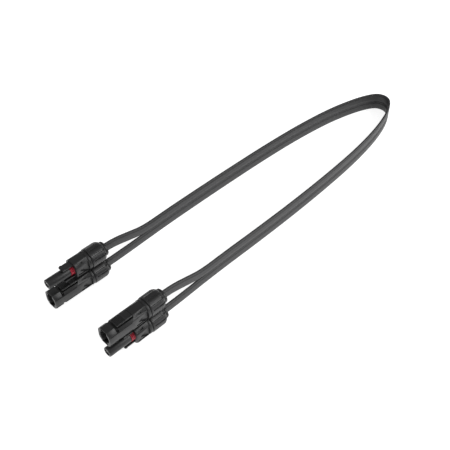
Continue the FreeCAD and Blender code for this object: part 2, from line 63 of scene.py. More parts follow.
Span = tuple[float, float]
Profile = list[tuple[float, float]]
Test = Callable[[Vector, Vector], bool]
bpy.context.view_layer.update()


class Kind(Enum):
    """The two connectors of a pair."""

    PLUG = "plug"
    SOCKET = "socket"


class Pick(Enum):
    """What is selected in edit mode."""

    FACES = "FACE"
    EDGES = "EDGE"


class Side(Enum):
    """The two faces of a connector that carry an arm or a tongue."""

    TOP = "top"
    BOTTOM = "bottom"


class Field:
    """A number that varies over a surface, with arithmetic that adds Math nodes."""

    def __init__(self, bench: "Bench", socket: bpy.types.NodeSocket) -> None:
        """Wrap an output socket of a material's node tree."""
        self.bench = bench
        self.socket = socket

    def __add__(self, other: "Field | float") -> "Field":
        """Sum."""
        return self.bench.maths("ADD", self, other)

    __radd__ = __add__

    def __sub__(self, other: "Field | float") -> "Field":
        """Difference."""
        return self.bench.maths("SUBTRACT", self, other)

    def __rsub__(self, other: "Field | float") -> "Field":
        """Difference from a number."""
        return self.bench.maths("SUBTRACT", other, self)

    def __mul__(self, other: "Field | float") -> "Field":
        """Product."""
        return self.bench.maths("MULTIPLY", self, other)

    __rmul__ = __mul__


class Bench:
    """Node tree of one material, with its Principled shader."""

    def __init__(self, name: str) -> None:
        """Start a material.

        Args:
            name: name of the new material.
        """
        self.material = bpy.data.materials.new(name)
        self.material.use_nodes = True
        self.tree = self.material.node_tree
        self.shader = next(n for n in self.tree.nodes if n.type == "BSDF_PRINCIPLED")

    def node(self, kind: str, settings: dict[str, object], values: dict[str | int, object]) -> bpy.types.Node:
        """Add a node.

        Args:
            kind: the node's type name.
            settings: properties set before the sockets.
            values: a value, Field or socket for each named or numbered input.

        Returns:
            The new node.
        """
        made = self.tree.nodes.new(kind)
        for key, value in settings.items():
            setattr(made, key, value)
        for key, value in values.items():
            self.feed(made.inputs[key], value)
        return made

    def feed(self, socket: bpy.types.NodeSocket, value: object) -> None:
        """Give an input a value, or link a Field or socket to it.

        Args:
            socket: the input.
            value: a value, Field or output socket.
        """
        if isinstance(value, Field):
            self.tree.links.new(value.socket, socket)
        elif isinstance(value, bpy.types.NodeSocket):
            self.tree.links.new(value, socket)
        else:
            socket.default_value = value

    def maths(self, operation: str, *terms: object) -> Field:
        """Add a Math node and return its result."""
        made = self.node("ShaderNodeMath", {"operation": operation}, dict(enumerate(terms)))
        return Field(self, made.outputs[0])

    def place(self, scale: Sequence[float] = (1.0, 1.0, 1.0)) -> bpy.types.NodeSocket:
        """Object coordinates, stretched by a scale along each axis."""
        source = self.node("ShaderNodeTexCoord", {}, {}).outputs["Object"]
        return self.node("ShaderNodeMapping", {}, {"Vector": source, "Scale": scale}).outputs["Vector"]

    def noise(self, where: bpy.types.NodeSocket, cell: float, detail: float = 2.0) -> Field:
        """Noise from 0 to 1 with cells of a size in metres."""
        values = {"Vector": where, "Scale": 1.0 / cell, "Detail": detail, "Roughness": 0.55}
        return Field(self, self.node("ShaderNodeTexNoise", {}, values).outputs["Fac"])

    def ramp(self, source: Field, low: float, high: float) -> Field:
        """Source mapped from the span low..high to 0..1 and kept within it.

        Args:
            source: the field.
            low: its value that becomes 0.
            high: its value that becomes 1.

        Returns:
            The mapped field.
        """
        values = {0: source, 1: low, 2: high, 3: 0.0, 4: 1.0}
        made = self.node("ShaderNodeMapRange", {"clamp": True}, values)
        return Field(self, made.outputs[0])

    def blend(self, share: Field, first: Sequence[float], second: Sequence[float]) -> bpy.types.NodeSocket:
        """Colour between two colours."""
        values = {0: share, 6: (*first, 1.0), 7: (*second, 1.0)}
        return self.node("ShaderNodeMix", {"data_type": "RGBA"}, values).outputs[2]

    def shade(self, share: Field, colour: Sequence[float], low: float, high: float) -> bpy.types.NodeSocket:
        """Colour between two factors of one colour."""
        return self.blend(share, lighter(colour, low), lighter(colour, high))

    def bump(self, height: Field, distance: float, strength: float = 1.0) -> bpy.types.NodeSocket:
        """Normal pushed about by a height field whose full range is a distance in metres."""
        values = {"Height": height, "Distance": distance, "Strength": strength}
        return self.node("ShaderNodeBump", {}, values).outputs["Normal"]

    def dress(self, **values: object) -> bpy.types.Material:
        """Feed the shader's inputs, named with underscores for spaces, and return the material.

        Args:
            values: value or link of each input.

        Returns:
            The bench's material.
        """
        for key, value in values.items():
            self.feed(self.shader.inputs[key.replace("_", " ")], value)
        return self.material


def lighter(colour: Sequence[float], factor: float) -> tuple[float, ...]:
    """Colour with each part multiplied by a factor."""
    return tuple(part * factor for part in colour)


@dataclass(frozen=True)
class MouldedPlastic:
    """Injection-moulded plastic: a fine spark-eroded grain with a slow drift in gloss.

    Attributes:
        name: name of the finish.
        colour: base colour.
        roughness: roughness of an average patch.
        grain: size of the grain, in metres.
        depth: depth of the grain, in metres.
    """

    name: str
    colour: tuple[float, float, float]
    roughness: float = 0.46
    grain: float = 0.00022
    depth: float = 0.000014

    def material(self) -> bpy.types.Material:
        """Build the material."""
        bench = Bench(self.name)
        grain = bench.noise(bench.place(), self.grain, 3.0)
        drift = bench.noise(bench.place((0.45, 1.0, 1.0)), 0.009, 2.0)
        return bench.dress(
            Base_Color=bench.shade(bench.ramp(drift, 0.3, 0.7), self.colour, 0.86, 1.2),
            Roughness=self.roughness - 0.06 + 0.12 * drift + 0.08 * (grain - 0.5),
            Normal=bench.bump(grain, self.depth),
            Specular_IOR_Level=0.5,
        )


@dataclass(frozen=True)
class ExtrudedJacket:
    """Matte extruded cable jacket: fine die lines along the core and a dusty bloom."""

    name: str
    colour: tuple[float, float, float]
    roughness: float = 0.52

    def material(self) -> bpy.types.Material:
        """Build the material on the core's own UV map: U in metres along it, V in metres round it."""
        bench = Bench(self.name)
        source = bench.node("ShaderNodeUVMap", {"uv_map": "core"}, {}).outputs["UV"]
        values = {"Vector": source, "Scale": (6.0, 2200.0, 1.0)}
        lines = bench.node("ShaderNodeMapping", {}, values).outputs["Vector"]
        streak = bench.noise(lines, 1.0, 2.0)
        grain = bench.noise(bench.place(), 0.00035, 2.0)
        bloom = bench.noise(bench.place(), 0.02, 3.0)
        height = 0.7 * streak + 0.3 * grain
        return bench.dress(
            Base_Color=bench.shade(bench.ramp(bloom, 0.3, 0.72), self.colour, 0.85, 1.25),
            Roughness=self.roughness - 0.05 + 0.1 * bloom + 0.06 * (streak - 0.5),
            Normal=bench.bump(height, 0.00003),
        )


@dataclass(frozen=True)
class SiliconeRubber:
    """Soft rubber of a seal or grommet, with a slight waxy gloss."""

    name: str
    colour: tuple[float, float, float]
    roughness: float = 0.34

    def material(self) -> bpy.types.Material:
        """Build the material."""
        bench = Bench(self.name)
        skin = bench.noise(bench.place(), 0.0005, 2.0)
        cloud = bench.noise(bench.place(), 0.003, 2.0)
        return bench.dress(
            Base_Color=bench.shade(cloud, self.colour, 0.8, 1.15),
            Roughness=self.roughness + 0.1 * (cloud - 0.5),
            Normal=bench.bump(skin, 0.00001),
        )


@dataclass(frozen=True)
class PlatedMetal:
    """Turned metal, plain or plated, with fine turning marks round the axis and dulled patches."""

    name: str
    colour: tuple[float, float, float]
    roughness: float = 0.28

    def material(self) -> bpy.types.Material:
        """Build the material."""
        bench = Bench(self.name)
        marks = bench.noise(bench.place((1.0, 0.03, 0.03)), 0.00012, 1.0)
        tarnish = bench.noise(bench.place(), 0.002, 3.0)
        return bench.dress(
            Base_Color=bench.shade(tarnish, self.colour, 0.78, 1.05),
            Metallic=1.0,
            Roughness=self.roughness + 0.12 * tarnish + 0.05 * (marks - 0.5),
            Normal=bench.bump(marks, 0.000004),
        )


FINISHES = {
    "housing": MouldedPlastic("moulded_black", (0.0100, 0.0101, 0.0106), 0.4),
    "cap_nut": MouldedPlastic("moulded_satin_black", (0.0120, 0.0120, 0.0126), 0.36, 0.0003),
    "claw": MouldedPlastic("moulded_grey", (0.06, 0.06, 0.062), 0.5),
    "grommet": SiliconeRubber("rubber_black", (0.022, 0.022, 0.022), 0.5),
    "seal": SiliconeRubber("silicone_red", (0.42, 0.012, 0.035)),
    "copper": PlatedMetal("bare_copper", (0.86, 0.45, 0.3)),
    "tinned_contact": PlatedMetal("tin_plate", (0.72, 0.72, 0.7), 0.3),
    "jacket": ExtrudedJacket("jacket_dark_grey", (0.0240, 0.0240, 0.0250)),
}


class Wardrobe:
    """Materials of the finishes, each built once."""

    def __init__(self) -> None:
        """Start with nothing built."""
        self.made: dict[str, bpy.types.Material] = {}

    def material(self, slot: str) -> bpy.types.Material:
        """Material of a finish, by the record's slot name.

        Args:
            slot: the record's slot name.

        Returns:
            The material.
        """
        if slot not in self.made:
            self.made[slot] = FINISHES[slot].material()
        return self.made[slot]

    def dress_frame(self) -> None:
        """Give every CAD node the material of its slot."""
        for entry in frame["record"]["subparts"]:
            node = frame["nodes"][entry["node"]]
            node.data.materials.clear()
            node.data.materials.append(self.material(entry["material_slot"]))


@dataclass
class Viewpoint:
    """Camera on the lead, in metres and degrees.

    Attributes:
        target: point looked at.
        azimuth: turn about +Z from looking along +Y.
        elevation: angle above the horizon.
        distance: distance from the target.
        lens: focal length, in millimetres.
    """

    target: tuple[float, float, float] = (0.1396, -0.0035, 0.011)
    azimuth: float = -45.31
    elevation: float = 44.13
    distance: float = 0.6657
    lens: float = 56.0

    def build(self) -> None:
        """Add the camera and make it the scene's."""
        turn, tilt = math.radians(self.azimuth), math.radians(self.elevation)
        ahead = Vector((-math.sin(turn) * math.cos(tilt), math.cos(turn) * math.cos(tilt), -math.sin(tilt)))
        data = bpy.data.cameras.new("camera")
        data.lens = self.lens
        data.sensor_width = 36.0
        data.clip_start = 0.01
        camera = bpy.data.objects.new("camera", data)
        camera.location = Vector(self.target) - ahead * self.distance
        camera.rotation_euler = ahead.to_track_quat("-Z", "Y").to_euler()
        bpy.context.scene.collection.objects.link(camera)
        bpy.context.scene.camera = camera


@dataclass
class Studio:
    """Plain pale floor and soft lights, in metres and watts."""

    floor_size: float = 14.0
    floor_colour: tuple[float, float, float] = (0.9, 0.9, 0.9)
    floor_glow: float = 0.72
    world_strength: float = 0.36

    def build(self) -> None:
        """Add the world, the floor and the lights."""
        scene = bpy.context.scene
        scene.view_settings.view_transform = "Standard"
        world = bpy.data.worlds.new("studio")
        world.use_nodes = True
        background = next(n for n in world.node_tree.nodes if n.type == "BACKGROUND")
        background.inputs["Color"].default_value = (1.0, 1.0, 1.0, 1.0)
        background.inputs["Strength"].default_value = self.world_strength
        scene.world = world
        bpy.ops.object.select_all(action="DESELECT")
        bpy.ops.mesh.primitive_plane_add(size=self.floor_size, location=(0.13, 0.0, -0.0004))
        floor = bpy.context.object
        floor.name = "floor"
        bench = Bench("floor_paper")
        fleck = bench.noise(bench.place(), 0.4, 2.0)
        colour = bench.blend(fleck, lighter(self.floor_colour, 0.995), self.floor_colour)
        dressed = bench.dress(
            Base_Color=colour,
            Roughness=0.9 + 0.05 * fleck,
            Emission_Color=(1.0, 1.0, 1.0, 1.0),
            Emission_Strength=self.floor_glow,
        )
        floor.data.materials.append(dressed)
        self.lamp("key", (0.95, -1.1, 0.85), 0.9, 12.0)
        self.lamp("fill", (-0.6, -0.4, 1.6), 1.2, 4.0)

    @staticmethod
    def lamp(name: str, place: tuple[float, float, float], size: float, power: float) -> None:
        """Add a square soft light that faces the middle of the lead.

        Args:
            name: name of the light.
            place: where it hangs, in metres.
            size: its side, in metres.
            power: in watts.
        """
        data = bpy.data.lights.new(name, "AREA")
        data.size = size
        data.energy = power
        light = bpy.data.objects.new(name, data)
        light.location = place
        facing = Vector((0.13, 0.0, 0.0)) - light.location
        light.rotation_euler = facing.to_track_quat("-Z", "Y").to_euler()
        bpy.context.scene.collection.objects.link(light)


def arc(start: Span, bulge: Span, end: Span, steps: int) -> Profile:
    """Points along the circle through three points, the first and last of them among them.

    Args:
        start: first point.
        bulge: a point between, within half a circle.
        end: last point.
        steps: number of chords.

    Returns:
        The points in order.
    """
    (ax, ay), (bx, by), (cx, cy) = start, bulge, end
    twice = 2.0 * (ax * (by - cy) + bx * (cy - ay) + cx * (ay - by))
    squares = (ax * ax + ay * ay, bx * bx + by * by, cx * cx + cy * cy)
    x = (squares[0] * (by - cy) + squares[1] * (cy - ay) + squares[2] * (ay - by)) / twice
    y = (squares[0] * (cx - bx) + squares[1] * (ax - cx) + squares[2] * (bx - ax)) / twice
    radius = math.hypot(ax - x, ay - y)
    first = math.atan2(ay - y, ax - x)
    sweep = (math.atan2(cy - y, cx - x) - first + math.pi) % (2.0 * math.pi) - math.pi
    angles = [first + sweep * step / steps for step in range(steps + 1)]
    return [(x + radius * math.cos(angle), y + radius * math.sin(angle)) for angle in angles]


def deselect() -> None:
    """Leave edit mode and select nothing."""
    if bpy.context.object and bpy.context.object.mode != "OBJECT":
        bpy.ops.object.mode_set(mode="OBJECT")
    bpy.ops.object.select_all(action="DESELECT")


class Workpiece:
    """A mesh shaped on the bench, in millimetres about a connector's axis, with a station s at X = -s."""

    def __init__(self, name: str) -> None:
        """Take the primitive that was just added, and settle its place into its mesh.

        Args:
            name: name of the piece.
        """
        self.holder = bpy.context.object
        self.holder.name = name
        bpy.ops.object.transform_apply(location=True, rotation=True, scale=True)

    @classmethod
    def turned(cls, name: str, profile: Profile, ring: bool = False, sides: int = 96) -> "Workpiece":
        """Turn a profile on the axis.

        Args:
            name: name of the piece.
            profile: its (station, radius) points in order.
            ring: the profile closes on itself, as a tube's does; otherwise its ends get flat faces.
            sides: number of flats round the axis.

        Returns:
            The turned piece.
        """
        deselect()
        start, radius = profile[0]
        bpy.ops.mesh.primitive_circle_add(
            vertices=sides,
            radius=radius,
            fill_type="NOTHING" if ring else "NGON",
            location=(-start, 0.0, 0.0),
            rotation=(0.0, math.pi / 2, 0.0),
        )
        piece = cls(name)
        extrude = bpy.ops.mesh.extrude_edges_move if ring else bpy.ops.mesh.extrude_region_move
        points = profile + profile[:1] if ring else profile
        with piece.editing():
            bpy.ops.mesh.select_all(action="SELECT")
            for (before, was), (station, becomes) in zip(points, points[1:]):
                extrude(TRANSFORM_OT_translate={"value": (before - station, 0.0, 0.0)})
                bpy.ops.transform.resize(
                    value=(1.0, becomes / was, becomes / was), center_override=(-station, 0.0, 0.0)
                )
        piece.clean()
        return piece

    @classmethod
    def bar(cls, name: str, stations: Span, across: Span, heights: Span) -> "Workpiece":
        """Square-edged bar between two stations, two places across the connector and two heights.

        Args:
            name: name of the piece.
            stations: its two ends.
            across: its two sides.
            heights: its bottom and top.

        Returns:
            The bar.
        """
        deselect()
        spans = ((-stations[1], -stations[0]), across, heights)
        bpy.ops.mesh.primitive_cube_add(
            size=1.0,
            location=[(low + high) / 2 for low, high in spans],
            scale=[high - low for low, high in spans],
        )
        return cls(name)

    @classmethod
    def cross_pin(
        cls, name: str, station: float, height: float, radius: float, half_width: float
    ) -> "Workpiece":
        """Round pin that lies across the connector.

        Args:
            name: name of the piece.
            station: where its axis lies.
            height: of its axis.
            radius: its radius.
            half_width: half its length.

        Returns:
            The pin.
        """
        deselect()
        bpy.ops.mesh.primitive_cylinder_add(
            vertices=32,
            radius=radius,
            depth=2 * half_width,
            location=(-station, 0.0, height),
            rotation=(math.pi / 2, 0.0, 0.0),
        )
        return cls(name)

    @contextmanager
    def editing(self) -> Iterator[None]:
        """Edit mode on this piece alone."""
        self.alone()
        bpy.ops.object.mode_set(mode="EDIT")
        bpy.ops.mesh.select_mode(type="VERT")
        yield
        bpy.ops.object.mode_set(mode="OBJECT")

    def alone(self) -> None:
        """Select this piece and nothing else."""
        deselect()
        self.holder.select_set(True)
        bpy.context.view_layer.objects.active = self.holder

    def pick(self, what: Pick, test: Test) -> None:
        """Select what passes a test, in edit mode.

        Args:
            what: faces or edges.
            test: takes a face's middle and normal, or an edge's middle and direction.
        """
        bpy.ops.mesh.select_mode(type=what.value)
        bpy.ops.mesh.select_all(action="DESELECT")
        shaped = bmesh.from_edit_mesh(self.holder.data)
        if what is Pick.FACES:
            for face in shaped.faces:
                if test(face.calc_center_median(), face.normal):
                    face.select_set(True)
        else:
            for edge in shaped.edges:
                first, second = (vertex.co for vertex in edge.verts)
                if test((first + second) / 2, (second - first).normalized()):
                    edge.select_set(True)
        bmesh.update_edit_mesh(self.holder.data)

    def slice(self, places: Sequence[float], normal: Sequence[float] = (1.0, 0.0, 0.0)) -> None:
        """Cut edges into the whole surface where planes cross it, in edit mode.

        Args:
            places: where the planes lie along the normal.
            normal: their common normal.
        """
        for place in places:
            bpy.ops.mesh.select_all(action="SELECT")
            bpy.ops.mesh.bisect(plane_co=Vector(normal) * place, plane_no=normal)

    def chamfer(self, offset: float, test: Test, segments: int = 1) -> None:
        """Bevel the edges that pass a test, in edit mode."""
        self.pick(Pick.EDGES, test)
        bpy.ops.mesh.bevel(offset=offset, segments=segments, affect="EDGES")

    def draw_out(self, test: Test, move: Sequence[float], grow: Sequence[float] = (1.0, 1.0, 1.0)) -> None:
        """Extrude the faces that pass a test and resize their far end about the axis, in edit mode.

        Args:
            test: takes a face's middle and normal.
            move: the extrusion.
            grow: factors along X, Y and Z.
        """
        self.pick(Pick.FACES, test)
        bpy.ops.mesh.extrude_region_move(TRANSFORM_OT_translate={"value": move})
        bpy.ops.transform.resize(value=grow, center_override=(0.0, 0.0, 0.0))

    def sink(self, test: Test, margin: float, depth: float) -> None:
        """Sink the faces that pass a test, inside a sloping margin, in edit mode."""
        self.pick(Pick.FACES, test)
        bpy.ops.mesh.inset(thickness=margin, depth=-depth, use_boundary=True, use_even_offset=True)

    def clean(self) -> None:
        """Merge what lies together and point every face outwards."""
        with self.editing():
            bpy.ops.mesh.select_all(action="SELECT")
            bpy.ops.mesh.remove_doubles(threshold=0.002)
            bpy.ops.mesh.normals_make_consistent(inside=False)

    def apply(self, kind: str, **settings: object) -> None:
        """Add a modifier with its settings and apply it.

        Args:
            kind: the modifier's type.
            settings: its properties.
        """
        modifier = self.holder.modifiers.new(kind.lower(), kind)
        for key, value in settings.items():
            setattr(modifier, key, value)
        self.alone()
        bpy.ops.object.modifier_apply(modifier=modifier.name)

    def cut(self, tool: "Workpiece", both_sides: bool = False) -> None:
        """Cut this piece with a tool, once or on both sides."""
        self.combine("DIFFERENCE", tool, both_sides)

    def join(self, tool: "Workpiece") -> None:
        """Join another piece to this one."""
        self.combine("UNION", tool)

    def combine(self, operation: str, tool: "Workpiece", both_sides: bool = False) -> None:
        """Join or cut this piece with a tool and use the tool up.

        Args:
            operation: UNION or DIFFERENCE.
            tool: the other piece.
            both_sides: use it again half a turn round the axis.
        """
        for _ in range(2 if both_sides else 1):
            self.apply("BOOLEAN", operation=operation, solver="EXACT", object=tool.holder)
            tool.turn(180.0)
        bpy.data.objects.remove(tool.holder)

    def turn(self, angle: float) -> None:
        """Turn round the axis by an angle in degrees."""
        self.holder.data.transform(Matrix.Rotation(math.radians(angle), 4, "X"))

    def soften(self, width: float, segments: int = 2, angle: float = 34.0) -> None:
        """Round every edge that is sharper than an angle."""
        self.clean()
        self.apply(
            "BEVEL",
            width=width,
            segments=segments,
            limit_method="ANGLE",
            angle_limit=math.radians(angle),
            use_clamp_overlap=False,
        )

    def finish(self, angle: float = 32.0) -> None:
        """Shade smooth across edges flatter than an angle.

        Args:
            angle: in degrees.
        """
        self.clean()
        self.alone()
        bpy.ops.object.shade_smooth_by_angle(angle=math.radians(angle))


@dataclass(frozen=True)
class Extent:
    """Reach of a CAD piece about its connector's axis, in millimetres.

    Attributes:
        start: station of its end towards the cable.
        end: station of its mating end.
        half_width: half its width across the connector.
        low: its lowest height from the axis.
        high: its highest height from the axis.
    """

    start: float
    end: float
    half_width: float
    low: float
    high: float


@dataclass(frozen=True)
class Seat:
    """One connector's place in the lead.

    Attributes:
        place: name of the place, with which the names of its CAD nodes begin.
        kind: plug or socket.
    """

    place: str
    kind: Kind

    @property
    def cable_end(self) -> Vector:
        """Middle of the connector's cable end, in metres."""
        low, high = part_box(f"{self.place}_end_bush")
        return Vector((high.x, (low.y + high.y) / 2, (low.z + high.z) / 2))

    def extent(self, piece: str) -> Extent:
        """Reach of one of this connector's CAD pieces."""
        low, high = ((corner - self.cable_end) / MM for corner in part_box(f"{self.place}_{piece}"))
        return Extent(-high.x, -low.x, (high.y - low.y) / 2, low.z, high.z)


SEATS = (
    Seat("far_plug", Kind.PLUG),
    Seat("far_socket", Kind.SOCKET),
    Seat("near_socket", Kind.SOCKET),
    Seat("near_plug", Kind.PLUG),
)


class Fitter:
    """Copies finished workpieces to their connectors, in place of the CAD pieces they stand for."""

    def __init__(self, wardrobe: Wardrobe) -> None:
        """Read which body and slot every CAD node has.

        Args:
            wardrobe: the materials.
        """
        self.wardrobe = wardrobe
        record = frame["record"]
        self.bodies = {node: body for body, nodes in record["behaviour"]["bodies"].items() for node in nodes}
        self.slots = {entry["node"]: entry["material_slot"] for entry in record["subparts"]}

    def fit(self, work: Workpiece, seats: Sequence[Seat], piece: str, name: str, over: bool = False) -> None:
        """Put a copy with its own mesh in each seat.

        Args:
            work: the finished workpiece.
            seats: the connectors that get a copy.
            piece: the CAD piece that each copy stands for.
            name: name of the copies, after their connector's.
            over: the copies are turned half a turn round the axis.
        """
        for seat in seats:
            node = f"{seat.place}_{piece}"
            mesh = work.holder.data.copy()
            if over:
                mesh.transform(Matrix.Rotation(math.pi, 4, "X"))
            mesh.transform(Matrix.Translation(seat.cable_end) @ Matrix.Scale(MM, 4))
            mesh.materials.clear()
            mesh.materials.append(self.wardrobe.material(self.slots[node]))
            copy = bpy.data.objects.new(f"{seat.place}_{name}", mesh)
            bpy.context.scene.collection.objects.link(copy)
            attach(copy, self.bodies[node])
            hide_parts(node)
            LOG.info("%s: %d faces, on %s", copy.name, len(mesh.polygons), self.bodies[node])

    def fit_pair(self, work: Workpiece, seats: Sequence[Seat], piece: str, name: str) -> None:
        """Put a copy on the top of each connector and one below."""
        for side in Side:
            self.fit(work, seats, f"{piece}_{side.value}", f"{name}_{side.value}", side is Side.BOTTOM)

    @staticmethod
    def clear(*works: Workpiece) -> None:
        """Take the workpieces off the bench."""
        for work in works:
            bpy.data.objects.remove(work.holder)


@dataclass
class CableEnd:
    """What covers the cable end of every connector: a ribbed cap nut turning on a slotted bush.

    Sizes are in millimetres.
    """

    fitter: Fitter
    crown_length: float = 5.0
    crown_drop: float = 2.7
    end_wall: float = 3.0
    neck_wall: float = 0.9
    running_clearance: float = 0.06
    thread_room: float = 0.36
    rib_count: int = 12
    flats_per_rib: int = 12
    groove_flats: int = 4
    groove_depth: float = 0.75
    groove_slope: float = 0.22
    groove_setback: float = 1.3
    rim: float = 1.7
    neck_step: float = 0.6
    disc_length: float = 2.4
    flange_length: float = 1.6
    notch_count: int = 8
    notch_depth: float = 0.45
    notch_half_angle: float = 7.6
    slot_clearance: float = 0.4
    slot_flare: float = 1.12
    slot_corner: float = 0.9
    core_width: float = 9.8
    core_thickness: float = 2.1

    def build(self) -> None:
        """Model the nut and the bush and fit one of each to every connector."""
        first = SEATS[0]
        nut = first.extent("cap_nut")
        bush = first.extent("end_bush")
        works = (self.cap_nut(nut, bush), self.end_bush(bush))
        self.fitter.fit(works[0], SEATS, "cap_nut", "ribbed_nut")
        self.fitter.fit(works[1], SEATS, "end_bush", "slotted_bush")
        self.fitter.clear(*works)

    def neck_radius(self) -> float:
        """Radius of the bush's neck, which the nut runs on."""
        return self.core_width / 2 + self.slot_clearance + self.neck_wall

    def cap_nut(self, nut: Extent, bush: Extent) -> Workpiece:
        """Model the nut: a rounded crown, twelve ribs and a plain rim.

        Args:
            nut: reach of the CAD nut.
            bush: reach of the CAD bush.

        Returns:
            The finished nut.
        """
        radius = nut.high
        hole = self.neck_radius() + self.running_clearance
        crown = nut.start + self.crown_length
        thread = bush.high + self.thread_room
        profile = arc(
            (nut.start, radius - self.crown_drop),
            (nut.start + self.crown_length / 3, radius - self.crown_drop / 3),
            (crown, radius),
            9,
        )
        profile += [
            (nut.end - self.rim, radius), (nut.end - 0.5, radius), (nut.end - 0.15, radius - 0.15),
            (nut.end, radius - 0.5), (nut.end, thread + 0.4), (nut.end - 0.4, thread),
            (nut.start + self.end_wall, thread), (nut.start + self.end_wall, hole),
            (nut.start + 0.3, hole), (nut.start, hole + 0.3),
        ]
        flats = self.rib_count * self.flats_per_rib
        work = Workpiece.turned("ribbed_nut", profile, ring=True, sides=flats)
        first, last = nut.start + self.groove_setback, nut.end - self.rim
        half_angle = 180.0 / self.rib_count * self.groove_flats / self.flats_per_rib

        def in_groove(middle: Vector, normal: Vector) -> bool:
            """Whether a face is part of a groove between two ribs."""
            if not first < -middle.x < last or math.hypot(normal.y, normal.z) < 0.3:
                return False
            if math.hypot(middle.y, middle.z) < thread + 0.2 or normal.y * middle.y + normal.z * middle.z < 0:
                return False
            pitch = 360.0 / self.rib_count
            return abs(math.degrees(math.atan2(middle.z, middle.y)) % pitch - pitch / 2) < half_angle + 0.05

        with work.editing():
            work.sink(in_groove, self.groove_slope, self.groove_depth)
        work.apply("BEVEL", width=0.12, segments=2, limit_method="ANGLE", angle_limit=math.radians(34.0))
        work.finish()
        return work

    def end_bush(self, bush: Extent) -> Workpiece:
        """Model the bush: a notched disc outside the nut, a neck through it and a flange inside it.

        Args:
            bush: reach of the CAD bush.

        Returns:
            The finished bush.
        """
        disc = self.neck_radius() + self.neck_step
        neck = self.neck_radius()
        flange = bush.end - self.flange_length
        profile = arc((0.0, disc - 0.8), (0.24, disc - 0.24), (0.8, disc), 4)
        profile += [
            (self.disc_length - 0.2, disc), (self.disc_length, disc - 0.2),
            (self.disc_length, neck), (flange, neck), (flange, bush.high), (bush.end, bush.high),
        ]
        work = Workpiece.turned("slotted_bush", profile)
        pitch = 360.0 / self.notch_count

        def in_notch(middle: Vector, normal: Vector) -> bool:
            """Whether a face of the disc's rim is part of a notch."""
            if math.hypot(middle.y, middle.z) < disc - 0.5 or -middle.x > self.disc_length - 0.2:
                return False
            around = math.degrees(math.atan2(middle.z, middle.y))
            return abs(around % pitch - pitch / 2) < self.notch_half_angle

        with work.editing():
            work.sink(in_notch, 0.12, self.notch_depth)
        half_thickness = self.core_thickness / 2 + self.slot_clearance
        half_width = self.core_width / 2 + self.slot_clearance
        slot = Workpiece.bar(
            "slot",
            (self.disc_length, bush.end + 1.0),
            (-half_thickness, half_thickness),
            (-half_width, half_width),
        )
        with slot.editing():
            flare = (1.0, 1.0 + (self.slot_flare - 1.0) * half_width / half_thickness, self.slot_flare)
            slot.draw_out(lambda middle, normal: normal.x > 0.9, (self.disc_length, 0.0, 0.0), flare)
            slot.draw_out(lambda middle, normal: normal.x > 0.9, (1.0, 0.0, 0.0))
            slot.chamfer(self.slot_corner, lambda middle, way: abs(way.x) > 0.8, 4)
        work.cut(slot)
        work.soften(0.1)
        work.finish()
        return work


